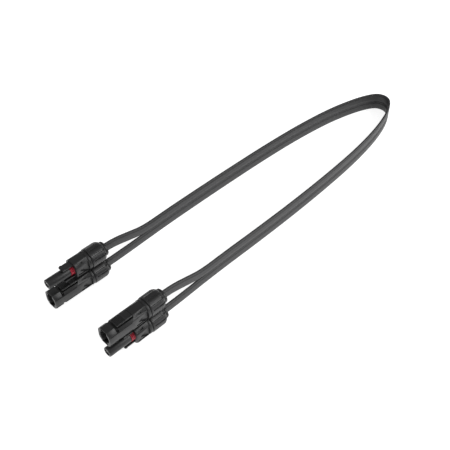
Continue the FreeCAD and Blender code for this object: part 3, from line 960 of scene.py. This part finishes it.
@dataclass
class Housing:
    """What the housings of plug and socket share: threaded spigot, flange and chamfered block.

    Sizes are in millimetres.
    """

    fitter: Fitter
    chamber_radius: float = 6.4
    chamber_end: float = 19.75
    contact_hole: float = 2.7
    spigot_radius: float = 7.7
    thread_depth: float = 0.45
    thread_pitch: float = 1.5
    thread_turns: int = 6
    flange_length: float = 2.9
    face_gap: float = 0.15
    weld: float = 0.25
    edge_round: float = 0.2
    block_half_width: float = 7.5
    block_half_height: float = 8.25
    block_chamfer: float = 3.5
    scallop_length: float = 9.5
    scallop_height: float = 11.0
    scallop_depth: float = 1.1
    scallop_point: float = 0.08
    scallop_gap: float = 0.02
    vent_station: float = 27.4
    vent_length: float = 6.6
    vent_height: float = 1.2
    vent_depth: float = 0.9
    vent_offset: float = 3.4

    def seats(self, kind: Kind) -> list[Seat]:
        """The connectors of a kind."""
        return [seat for seat in SEATS if seat.kind is kind]

    def spine(self, seat: Seat, nose: Profile) -> Workpiece:
        """Turn the spigot and flange, with a nose or a stub beyond them inside the block.

        Args:
            seat: a connector of this kind.
            nose: profile beyond the flange.

        Returns:
            The turned piece.
        """
        body = seat.extent("body")
        flange = seat.extent("cap_nut").end + self.face_gap
        front = flange + self.flange_length
        root = self.spigot_radius - self.thread_depth
        rim = body.high if body.high > self.block_half_height else self.block_half_height
        profile = [
            (body.start, root - 0.4), (body.start + 0.4, root), (flange - 0.6, root),
            (flange - 0.6, self.spigot_radius), (flange, self.spigot_radius), (flange, rim - 0.4),
            (flange + 0.4, rim), (front - 0.5, rim), (front - 0.15, rim - 0.12), (front, rim - 0.5),
        ]
        return Workpiece.turned("spine", profile + nose)

    def thread(self, seat: Seat) -> Workpiece:
        """Ridge that winds along the spigot, for the cap nut.

        Args:
            seat: a connector of this kind.

        Returns:
            The ridge.
        """
        start = seat.extent("body").start + 0.6
        middle = self.spigot_radius - self.thread_depth * 0.75
        far = -start - self.thread_turns * self.thread_pitch
        deselect()
        bpy.ops.mesh.primitive_plane_add(
            size=1.0, location=(far, 0.0, middle), rotation=(math.pi / 2, 0.0, 0.0)
        )
        bpy.context.object.scale = (self.thread_pitch * 0.8, self.thread_depth * 1.5, 1.0)
        ridge = Workpiece("thread")
        with ridge.editing():
            ridge.pick(Pick.EDGES, lambda place, way: place.z > middle + 0.1 and abs(way.x) > 0.9)
            bpy.ops.transform.resize(value=(0.3, 1.0, 1.0), center_override=(far, 0.0, middle))
            bpy.ops.mesh.select_mode(type="FACE")
            bpy.ops.mesh.select_all(action="SELECT")
            bpy.ops.mesh.delete(type="ONLY_FACE")
        ridge.apply(
            "SCREW",
            axis="X",
            angle=2.0 * math.pi,
            screw_offset=self.thread_pitch,
            iterations=self.thread_turns,
            steps=48,
            render_steps=48,
        )
        with ridge.editing():
            bpy.ops.mesh.select_all(action="SELECT")
            bpy.ops.mesh.fill_holes(sides=4)
        ridge.clean()
        return ridge

    def block(self, start: float, end: float) -> Workpiece:
        """Chamfered block between two stations.

        Args:
            start: station of its cable side.
            end: station of its mating side.

        Returns:
            The block.
        """
        width, height = self.block_half_width, self.block_half_height
        work = Workpiece.bar("block", (start, end), (-width, width), (-height, height))
        with work.editing():
            work.chamfer(self.block_chamfer, lambda middle, way: abs(way.x) > 0.9)
        return work

    def shape_sides(self, work: Workpiece, start: float) -> None:
        """Cut the pointed scallop and the two slots in each side of the block.

        Args:
            work: the block.
            start: station where the scallop begins.
        """
        side = self.block_half_width
        scallop = Workpiece.bar(
            "scallop",
            (start, start + self.scallop_length),
            (side - self.scallop_depth, side + 1.0),
            (-self.scallop_height / 2, self.scallop_height / 2),
        )
        with scallop.editing():
            scallop.pick(Pick.FACES, lambda middle, normal: normal.x < -0.9)
            bpy.ops.transform.resize(value=(1.0, 1.0, self.scallop_point), center_override=(0.0, 0.0, 0.0))
        work.cut(scallop, both_sides=True)
        chamfer = (side + self.block_half_height - self.block_chamfer) * math.sqrt(0.5)
        middle = (self.block_half_height - side) * math.sqrt(0.5)
        for distance, height, angle in ((side, self.vent_offset, 0.0), (chamfer, -middle, 135.0)):
            vent = Workpiece.bar(
                "vent",
                (self.vent_station, self.vent_station + self.vent_length),
                (distance - self.vent_depth, distance + 1.0),
                (height - self.vent_height / 2, height + self.vent_height / 2),
            )
            vent.turn(angle)
            work.cut(vent, both_sides=True)

    @staticmethod
    def barrel(metal: Extent, strand: Extent) -> Profile:
        """Outside of a contact's crimp barrel and the waist in front of it.

        Args:
            metal: reach of the contact.
            strand: reach of the conductor in it.

        Returns:
            The profile.
        """
        radius = metal.half_width
        return [
            (metal.start, radius - 0.15), (metal.start + 0.15, radius), (strand.end + 0.2, radius),
            (strand.end + 0.5, radius - 0.25), (strand.end + 1.2, radius - 0.25),
            (strand.end + 1.5, radius),
        ]

    @staticmethod
    def crimp(work: Workpiece, metal: Extent, strand: Extent) -> None:
        """Bore a contact's barrel for the strand."""
        crimp = [(metal.start - 1.0, strand.half_width), (strand.end, strand.half_width)]
        work.cut(Workpiece.turned("crimp", crimp, sides=64))

    def bore(self, work: Workpiece, beyond: Profile) -> None:
        """Bore the chamber for claw and grommet, and what lies beyond it."""
        profile = [(0.0, self.chamber_radius), (self.chamber_end, self.chamber_radius)]
        work.cut(Workpiece.turned("bore", profile + beyond))


@dataclass
class Plug(Housing):
    """Plug: a nose with a red seal at its root, a metal socket inside it, and two latch arms."""

    shoulder: float = 35.2
    nose_radius: float = 4.55
    nose_groove: float = 0.4
    pocket_room: float = 1.2
    pocket_clearance: float = 0.25
    barb_length: float = 2.4
    barb_height: float = 0.75
    barb_top: float = 1.0
    barb_nose_drop: float = 0.5
    knuckle_radius: float = 0.95
    arm_round: float = 0.14
    lip_count: int = 3
    lip_depth: float = 0.55
    slit_width: float = 0.5
    slit_length: float = 12.0
    contact_bore: float = 2.05

    def build(self) -> None:
        """Model the plug's pieces once and fit them to both plugs."""
        seats = self.seats(Kind.PLUG)
        first = seats[0]
        body, seal, contact, arm = self.body(first), self.seal(first), self.contact(first), self.arm(first)
        self.fitter.fit(body, seats, "body", "plug_housing")
        self.fitter.fit(seal, seats, "nose_seal", "lipped_seal")
        self.fitter.fit(contact, seats, "contact", "slit_contact")
        self.fitter.fit_pair(arm, seats, "latch_arm", "barbed_arm")
        self.fitter.clear(body, seal, contact, arm)

    def body(self, seat: Seat) -> Workpiece:
        """Model the housing.

        Args:
            seat: a connector of this kind.

        Returns:
            The finished piece.
        """
        tip = seat.extent("body").end
        seal_end = seat.extent("nose_seal").end
        groove = self.nose_radius - self.nose_groove
        nose = [
            (self.shoulder - 3.0, groove), (seal_end, groove),
            (seal_end + 0.1, self.nose_radius - 0.1), (seal_end + 0.2, self.nose_radius),
            (tip - 0.6, self.nose_radius), (tip - 0.15, self.nose_radius - 0.15),
            (tip, self.nose_radius - 0.5),
        ]
        front = seat.extent("cap_nut").end + self.face_gap + self.flange_length
        work = self.block(front - self.weld, self.shoulder)
        work.join(self.spine(seat, nose))
        self.shape_sides(work, front + self.scallop_gap)
        arm = seat.extent("latch_arm_top")
        height = arm.low + self.knuckle_radius
        pocket = Workpiece.bar(
            "pocket",
            (arm.start - self.pocket_clearance, self.shoulder + 1.0),
            (-arm.half_width - self.pocket_clearance, arm.half_width + self.pocket_clearance),
            (height - self.pocket_room, height + self.pocket_room),
        )
        work.cut(pocket, both_sides=True)
        work.soften(self.edge_round)
        work.join(self.thread(seat))
        hole = self.contact_hole
        self.bore(work, [(self.chamber_end, hole), (tip - 0.3, hole), (tip + 0.5, hole + 0.8)])
        work.finish()
        return work

    def seal(self, seat: Seat) -> Workpiece:
        """Model the nose seal: a ring with round lips.

        Args:
            seat: a connector of this kind.

        Returns:
            The finished piece.
        """
        ring = seat.extent("nose_seal")
        inner = self.nose_radius - self.nose_groove
        pitch = (ring.end - ring.start) / self.lip_count
        valley = ring.high - self.lip_depth
        profile: Profile = [(ring.start, inner)]
        for lip in range(self.lip_count):
            start = ring.start + pitch * lip
            end = start + pitch
            profile += arc((start + 0.04, valley), (start + pitch / 2, ring.high), (end - 0.04, valley), 8)
        profile.append((ring.end, inner))
        work = Workpiece.turned("lipped_seal", profile, ring=True)
        work.finish(50.0)
        return work

    def contact(self, seat: Seat) -> Workpiece:
        """Model the metal socket: a crimp barrel and a bored, slit tube.

        Args:
            seat: a connector of this kind.

        Returns:
            The finished piece.
        """
        metal = seat.extent("contact")
        radius, bore = metal.half_width, self.contact_bore
        strand = seat.extent("strand")
        web = strand.end + 1.4
        outside = self.barrel(metal, strand) + [(metal.end - 0.3, radius), (metal.end, radius - 0.2)]
        work = Workpiece.turned("slit_contact", outside, sides=64)
        self.crimp(work, metal, strand)
        tunnel = [(web, bore), (metal.end - 0.2, bore), (metal.end + 0.2, bore + 0.35)]
        work.cut(Workpiece.turned("tunnel", tunnel, sides=64))
        half = self.slit_width / 2
        stations = (metal.end - self.slit_length, metal.end + 1.0)
        narrow, wide = (-half, half), (-radius - 1, radius + 1)
        for across, heights in ((narrow, wide), (wide, narrow)):
            work.cut(Workpiece.bar("slit", stations, across, heights))
        work.finish()
        return work

    def arm(self, seat: Seat) -> Workpiece:
        """Model the upper latch arm: knuckle, tapering blade and barb.

        Args:
            seat: a connector of this kind.

        Returns:
            The finished piece.
        """
        arm = seat.extent("latch_arm_top")
        high = arm.high - self.barb_height
        height = arm.low + self.knuckle_radius
        low = 2 * height - high
        hinge = arm.start + self.knuckle_radius
        barb = arm.end - self.barb_length
        across = (-arm.half_width, arm.half_width)
        work = Workpiece.bar("barbed_arm", (hinge, arm.end), across, (low, high))
        with work.editing():
            work.slice((-barb, -barb - self.barb_top))
            rise = (0.0, 0.0, self.barb_height)
            work.draw_out(lambda middle, normal: normal.z > 0.9 and -middle.x > barb, rise)
            work.pick(
                Pick.EDGES,
                lambda middle, way: abs(-middle.x - arm.end) < 0.01 and middle.z > arm.high - 0.1,
            )
            bpy.ops.transform.translate(value=(0.0, 0.0, -self.barb_height - self.barb_nose_drop))
            work.slice((-hinge - 2.2, 0.8 - barb))
            work.sink(
                lambda middle, normal: normal.z > 0.9 and hinge + 2.2 < -middle.x < barb - 0.8,
                0.9,
                0.3,
            )
            work.chamfer(0.7, lambda middle, way: abs(way.z) > 0.9 and -middle.x > arm.end - 0.01, 3)
        knuckle = Workpiece.cross_pin("knuckle", hinge, height, self.knuckle_radius, arm.half_width)
        work.join(knuckle)
        work.soften(self.arm_round)
        work.finish()
        return work


@dataclass
class Socket(Housing):
    """Socket: a mouth with a metal pin inside it, and two release tongues let into the block."""

    stub_length: float = 2.0
    stub_wall: float = 1.0
    cut_top: float = 12.0
    mouth_radius: float = 5.55
    mouth_depth: float = 4.5
    mouth_lead: float = 0.45
    guide_radius: float = 4.7
    guide_depth: float = 9.2
    relief_radius: float = 4.85
    relief_start: float = 34.9
    undercut_radius: float = 5.15
    undercut_length: float = 0.8
    channel_half_width: float = 3.45
    channel_floor: float = 5.35
    channel_top: float = 7.65
    collar_depth: float = 7.8
    well_clearance: float = 0.9
    well_floor: float = 5.85
    well_setback: float = 0.25
    groove_station: float = 38.0
    groove_low: float = 3.8
    groove_high: float = 4.8
    groove_depth: float = 0.5
    notch_depth: float = 2.5
    notch_floor: float = 3.6
    knuckle_radius: float = 1.0
    knuckle_setback: float = 1.0
    knuckle_depth: float = 1.15
    tongue_thickness: float = 1.3
    tongue_round: float = 0.12
    rib_count: int = 7
    rib_pitch: float = 1.15
    rib_gap: float = 0.5
    rib_depth: float = 0.35
    first_rib: float = 1.1
    pad_length: float = 5.0
    pad_depth: float = 0.25
    pin_radius: float = 2.0

    def build(self) -> None:
        """Model the socket's pieces once and fit them to both sockets."""
        seats = self.seats(Kind.SOCKET)
        first = seats[0]
        body, contact, tongue = self.body(first), self.contact(first), self.tongue(first)
        self.fitter.fit(body, seats, "body", "socket_housing")
        self.fitter.fit(contact, seats, "contact", "pin_contact")
        self.fitter.fit_pair(tongue, seats, "tongue", "ribbed_tongue")
        self.fitter.clear(body, contact, tongue)

    def body(self, seat: Seat) -> Workpiece:
        """Model the housing.

        Args:
            seat: a connector of this kind.

        Returns:
            The finished piece.
        """
        end = seat.extent("body").end
        tongue = seat.extent("tongue_top")
        front = seat.extent("cap_nut").end + self.face_gap + self.flange_length
        work = self.block(front - self.weld, end)
        stub = [(front + self.stub_length, self.contact_hole + self.stub_wall)]
        work.join(self.spine(seat, stub))
        self.shape_sides(work, front + self.scallop_gap)
        collar = end - self.collar_depth
        room = tongue.half_width + self.well_clearance
        stations = (tongue.start - self.well_setback, collar)
        well = Workpiece.bar("well", stations, (-room, room), (self.well_floor, self.cut_top))
        with well.editing():
            well.chamfer(0.9, lambda middle, way: abs(way.z) > 0.9 and -middle.x < tongue.start, 3)
        work.cut(well, both_sides=True)
        width = self.channel_half_width
        heights = (self.channel_floor, self.channel_top)
        channel = Workpiece.bar("channel", (collar - 1.0, end + 1.0), (-width, width), heights)
        work.cut(channel, both_sides=True)
        side = self.block_half_width
        for sign in (1.0, -1.0):
            heights = sorted((sign * self.groove_low, sign * self.groove_high))
            groove = Workpiece.bar(
                "groove", (self.groove_station, end + 1.0), (side - self.groove_depth, side + 1.0), heights
            )
            work.cut(groove, both_sides=True)
            heights = sorted((sign * self.notch_floor, sign * self.cut_top))
            across = (side - self.notch_depth, side + 1.0)
            notch = Workpiece.bar("notch", (tongue.end, collar), across, heights)
            work.cut(notch, both_sides=True)
        work.cut(Workpiece.turned("mouth", [
            (end - self.mouth_depth, self.mouth_radius),
            (end - self.mouth_lead, self.mouth_radius),
            (end + self.mouth_lead, self.mouth_radius + 2 * self.mouth_lead),
        ]))
        work.soften(self.edge_round)
        work.join(self.thread(seat))
        guide = end - self.guide_depth
        self.bore(work, [
            (self.chamber_end, self.contact_hole), (self.relief_start, self.contact_hole),
            (self.relief_start, self.relief_radius),
            (guide - self.undercut_length, self.relief_radius),
            (guide - self.undercut_length, self.undercut_radius), (guide, self.undercut_radius),
            (guide, self.guide_radius), (end - self.mouth_depth - 0.3, self.guide_radius),
            (end - self.mouth_depth + 0.2, self.guide_radius + 0.5),
        ])
        work.finish()
        return work

    def contact(self, seat: Seat) -> Workpiece:
        """Model the metal pin with its crimp barrel.

        Args:
            seat: a connector of this kind.

        Returns:
            The finished piece.
        """
        metal = seat.extent("contact")
        radius, pin = metal.half_width, self.pin_radius
        strand = seat.extent("strand")
        tip = metal.end
        outside = self.barrel(metal, strand)
        outside += [(self.relief_start, radius), (self.relief_start, pin), (tip - 1.6, pin)]
        outside += arc((tip - 1.5, pin), (tip - 0.45, pin - 0.5), (tip, 0.55), 6)
        work = Workpiece.turned("pin_contact", outside, sides=64)
        self.crimp(work, metal, strand)
        work.finish()
        return work

    def tongue(self, seat: Seat) -> Workpiece:
        """Model the upper release tongue: ribbed in front, with a shallow smooth pad behind.

        Args:
            seat: a connector of this kind.

        Returns:
            The finished piece.
        """
        reach = seat.extent("tongue_top")
        high = self.block_half_height
        low = high - self.tongue_thickness
        across = (-reach.half_width, reach.half_width)
        work = Workpiece.bar("ribbed_tongue", (reach.start, reach.end), across, (low, high))
        slope = self.block_half_width - self.block_chamfer
        foremost = reach.end - self.first_rib
        ribs = [foremost - self.rib_pitch * rib - self.rib_gap for rib in range(self.rib_count)]
        with work.editing():
            work.chamfer(
                reach.half_width - slope, lambda middle, way: abs(way.x) > 0.9 and middle.z > 0.99 * high
            )
            for start in ribs:
                work.slice((-start, -start - self.rib_gap))
                work.sink(
                    lambda middle, normal: normal.z > 0.6 and start < -middle.x < start + self.rib_gap,
                    0.06,
                    self.rib_depth,
                )
            pad_end = ribs[-1] - 0.9
            pad_start = pad_end - self.pad_length
            work.slice((-pad_start, -pad_end))
            work.sink(
                lambda middle, normal: normal.z > 0.9 and pad_start < -middle.x < pad_end,
                0.35,
                self.pad_depth,
            )
            work.chamfer(1.1, lambda middle, way: abs(way.z) > 0.9 and -middle.x > reach.end - 0.01, 3)
        hinge, height = reach.start + self.knuckle_setback, high - self.knuckle_depth
        knuckle = Workpiece.cross_pin("knuckle", hinge, height, self.knuckle_radius, slope)
        work.join(knuckle)
        work.soften(self.tongue_round)
        work.finish()
        return work


@dataclass
class FlatCores:
    """The two flat cores, which leave one connector pair as legs, join as a ribbon and come back.

    The points are those of the CAD route, in metres: a leg from its straight start, then the ribbon.
    """

    width: float = 0.0098
    thickness: float = 0.0021
    edge_radius: float = 0.0008
    crown: float = 0.00008
    pair_half_spacing: float = 0.0386
    core_end_x: float = 0.0108
    length: float = 0.83
    edge_steps: int = 4
    face_steps: int = 7
    ribbon_plan: tuple[tuple[float, float], ...] = (
        (0.0760, 0.0404), (0.1060, 0.0423), (0.1500, 0.0444), (0.2000, 0.0459), (0.2540, 0.0455),
        (0.3060, 0.0433), (0.3500, 0.0386), (0.3780, 0.0326), (0.3950, 0.0276), (0.4075, 0.0220),
        (0.4136, 0.0170), (0.4157, 0.0098), (0.4134, 0.0028), (0.4070, -0.0026), (0.3970, -0.0079),
        (0.3820, -0.0136), (0.3540, -0.0206), (0.3100, -0.0271), (0.2560, -0.0310),
        (0.2020, -0.0332), (0.1500, -0.0349), (0.1060, -0.0360), (0.0760, -0.0371),
    )
    lead_in_heights: tuple[float, ...] = (0.00895, 0.0081, 0.0064)
    leg_plan: tuple[tuple[float, float, float], ...] = (
        (0.0260, 0.0, 0.0),
        (0.0420, 0.0001, 0.0001),
        (0.0580, 0.0008, 0.0006),
    )

    def leg(self, side: int, axis_z: float, drops: Sequence[float]) -> list[Vector]:
        """Route points of one leg, from its end in the connector.

        Args:
            side: 1 for the far pair of connectors, -1 for the near pair.
            axis_z: height of the connector's axis.
            drops: how far the leg has come down from that axis at each of its points.

        Returns:
            The points, in metres.
        """
        points = [Vector((self.core_end_x, side * self.pair_half_spacing, axis_z))]
        for (x, far_shift, near_shift), drop in zip(self.leg_plan, drops):
            shift = far_shift if side > 0 else near_shift
            points.append(Vector((x, side * self.pair_half_spacing + shift, axis_z - drop)))
        return points

    def route(self, axis_z: float, drops: Sequence[float], lift: float) -> list[Vector]:
        """Route points of one core, from the far connector to the near one.

        Args:
            axis_z: height of the connectors' axis.
            drops: as for a leg.
            lift: height of the core above the floor.

        Returns:
            The points, in metres.
        """
        heights = [self.width / 2] * len(self.ribbon_plan)
        for place, height in enumerate(self.lead_in_heights):
            heights[place] = height
            heights[-1 - place] = height
        ribbon = [Vector((x, y, z + lift)) for (x, y), z in zip(self.ribbon_plan, heights)]
        return self.leg(1, axis_z, drops) + ribbon + self.leg(-1, axis_z, drops)[::-1]

    @staticmethod
    def smooth_line(name: str, points: Sequence[Vector]) -> list[Vector]:
        """Points along the smooth curve that has the route's points as its control points.

        Args:
            name: name of the passing curve.
            points: its control points.

        Returns:
            The points, in metres.
        """
        curve = bpy.data.curves.new(name, "CURVE")
        curve.dimensions = "3D"
        spline = curve.splines.new("NURBS")
        spline.points.add(len(points) - 1)
        for point, place in zip(spline.points, points):
            point.co = (*place, 1.0)
        spline.order_u = 3
        spline.use_endpoint_u = True
        curve.resolution_u = 12
        holder = bpy.data.objects.new(name, curve)
        bpy.context.scene.collection.objects.link(holder)
        bpy.context.view_layer.update()
        line = bpy.data.meshes.new_from_object(holder)
        found = [vertex.co.copy() for vertex in line.vertices]
        bpy.data.objects.remove(holder)
        bpy.data.meshes.remove(line)
        return found

    def section(self) -> list[tuple[float, float]]:
        """Outline of a core seen along it: (across its thickness, up its width) points."""
        half_t, half_w, r = self.thickness / 2, self.width / 2, self.edge_radius
        points = []
        corners = ((1, 1, 0.0), (-1, 1, 90.0), (-1, -1, 180.0), (1, -1, 270.0))
        for sign_t, sign_w, start in corners:
            for step in range(self.edge_steps + 1):
                angle = math.radians(start + 90.0 * step / self.edge_steps)
                across = sign_t * (half_t - r) + r * math.cos(angle)
                up = sign_w * (half_w - r) + r * math.sin(angle)
                points.append((across, up))
            if sign_w == sign_t:
                continue
            for step in range(1, self.face_steps):
                share = step / self.face_steps
                swell = self.crown * math.sin(math.pi * share)
                points.append((sign_t * (half_t + swell), (half_w - r) * (2 * share - 1) * sign_w))
        return points

    def build(self, wardrobe: Wardrobe) -> None:
        """Args:
            wardrobe: the materials.
        """
        lower_z = sum(corner.z for corner in map(Vector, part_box("far_socket_end_bush"))) / 2
        upper_z = sum(corner.z for corner in map(Vector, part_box("far_plug_end_bush"))) / 2
        self.core("lower", self.route(lower_z, (0.0, 0.00005, 0.0002), 0.0), wardrobe)
        self.core("upper", self.route(upper_z, (0.0, 0.0008, 0.0054), self.width), wardrobe)

    def core(self, which: str, points: Sequence[Vector], wardrobe: Wardrobe) -> None:
        """Add one core as a tube of the flat section along its smooth line.

        Args:
            which: lower or upper.
            points: its route points.
            wardrobe: the materials.
        """
        line = self.smooth_line(f"{which}_core_line", points)
        section = self.section()
        mesh = bpy.data.meshes.new(f"{which}_flat_core")
        shaped = bmesh.new()
        uv = shaped.loops.layers.uv.new("core")
        rings = []
        along = [0.0]
        for place, point in enumerate(line):
            before, after = line[max(place - 1, 0)], line[min(place + 1, len(line) - 1)]
            heading = (after - before).normalized()
            across = heading.cross(Vector((0.0, 0.0, 1.0))).normalized()
            up = across.cross(heading)
            rings.append([shaped.verts.new(point + across * a + up * b) for a, b in section])
            if place:
                along.append(along[-1] + (point - line[place - 1]).length)
        girth = [0.0]
        for (a, b), (c, d) in zip(section, section[1:] + section[:1]):
            girth.append(girth[-1] + math.hypot(c - a, d - b))
        count = len(section)
        for i, (ring, following) in enumerate(zip(rings, rings[1:])):
            for j in range(count):
                k = (j + 1) % count
                face = shaped.faces.new((ring[j], ring[k], following[k], following[j]))
                corners = ((i, j), (i, j + 1), (i + 1, j + 1), (i + 1, j))
                for loop, (m, n) in zip(face.loops, corners):
                    loop[uv].uv = (along[m], girth[n])
        shaped.faces.new(rings[0][::-1])
        shaped.faces.new(rings[-1])
        bmesh.ops.recalc_face_normals(shaped, faces=shaped.faces)
        shaped.to_mesh(mesh)
        shaped.free()
        mesh.shade_smooth()
        piece = bpy.data.objects.new(f"{which}_flat_core", mesh)
        bpy.context.scene.collection.objects.link(piece)
        mesh.materials.append(wardrobe.material("jacket"))
        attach(piece, "lead")
        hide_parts(f"{which}_core")
        LOG.info("%s core: %.0f mm long, %d rings", which, along[-1] / MM, len(rings))


def main() -> None:
    """Build the looks in order."""
    logging.basicConfig(level=logging.INFO, format="%(name)s: %(message)s")
    Viewpoint().build()
    wardrobe = Wardrobe()
    FlatCores().build(wardrobe)
    fitter = Fitter(wardrobe)
    CableEnd(fitter).build()
    Plug(fitter).build()
    Socket(fitter).build()
    Studio().build()
    wardrobe.dress_frame()


if __name__ == "__main__":
    main()
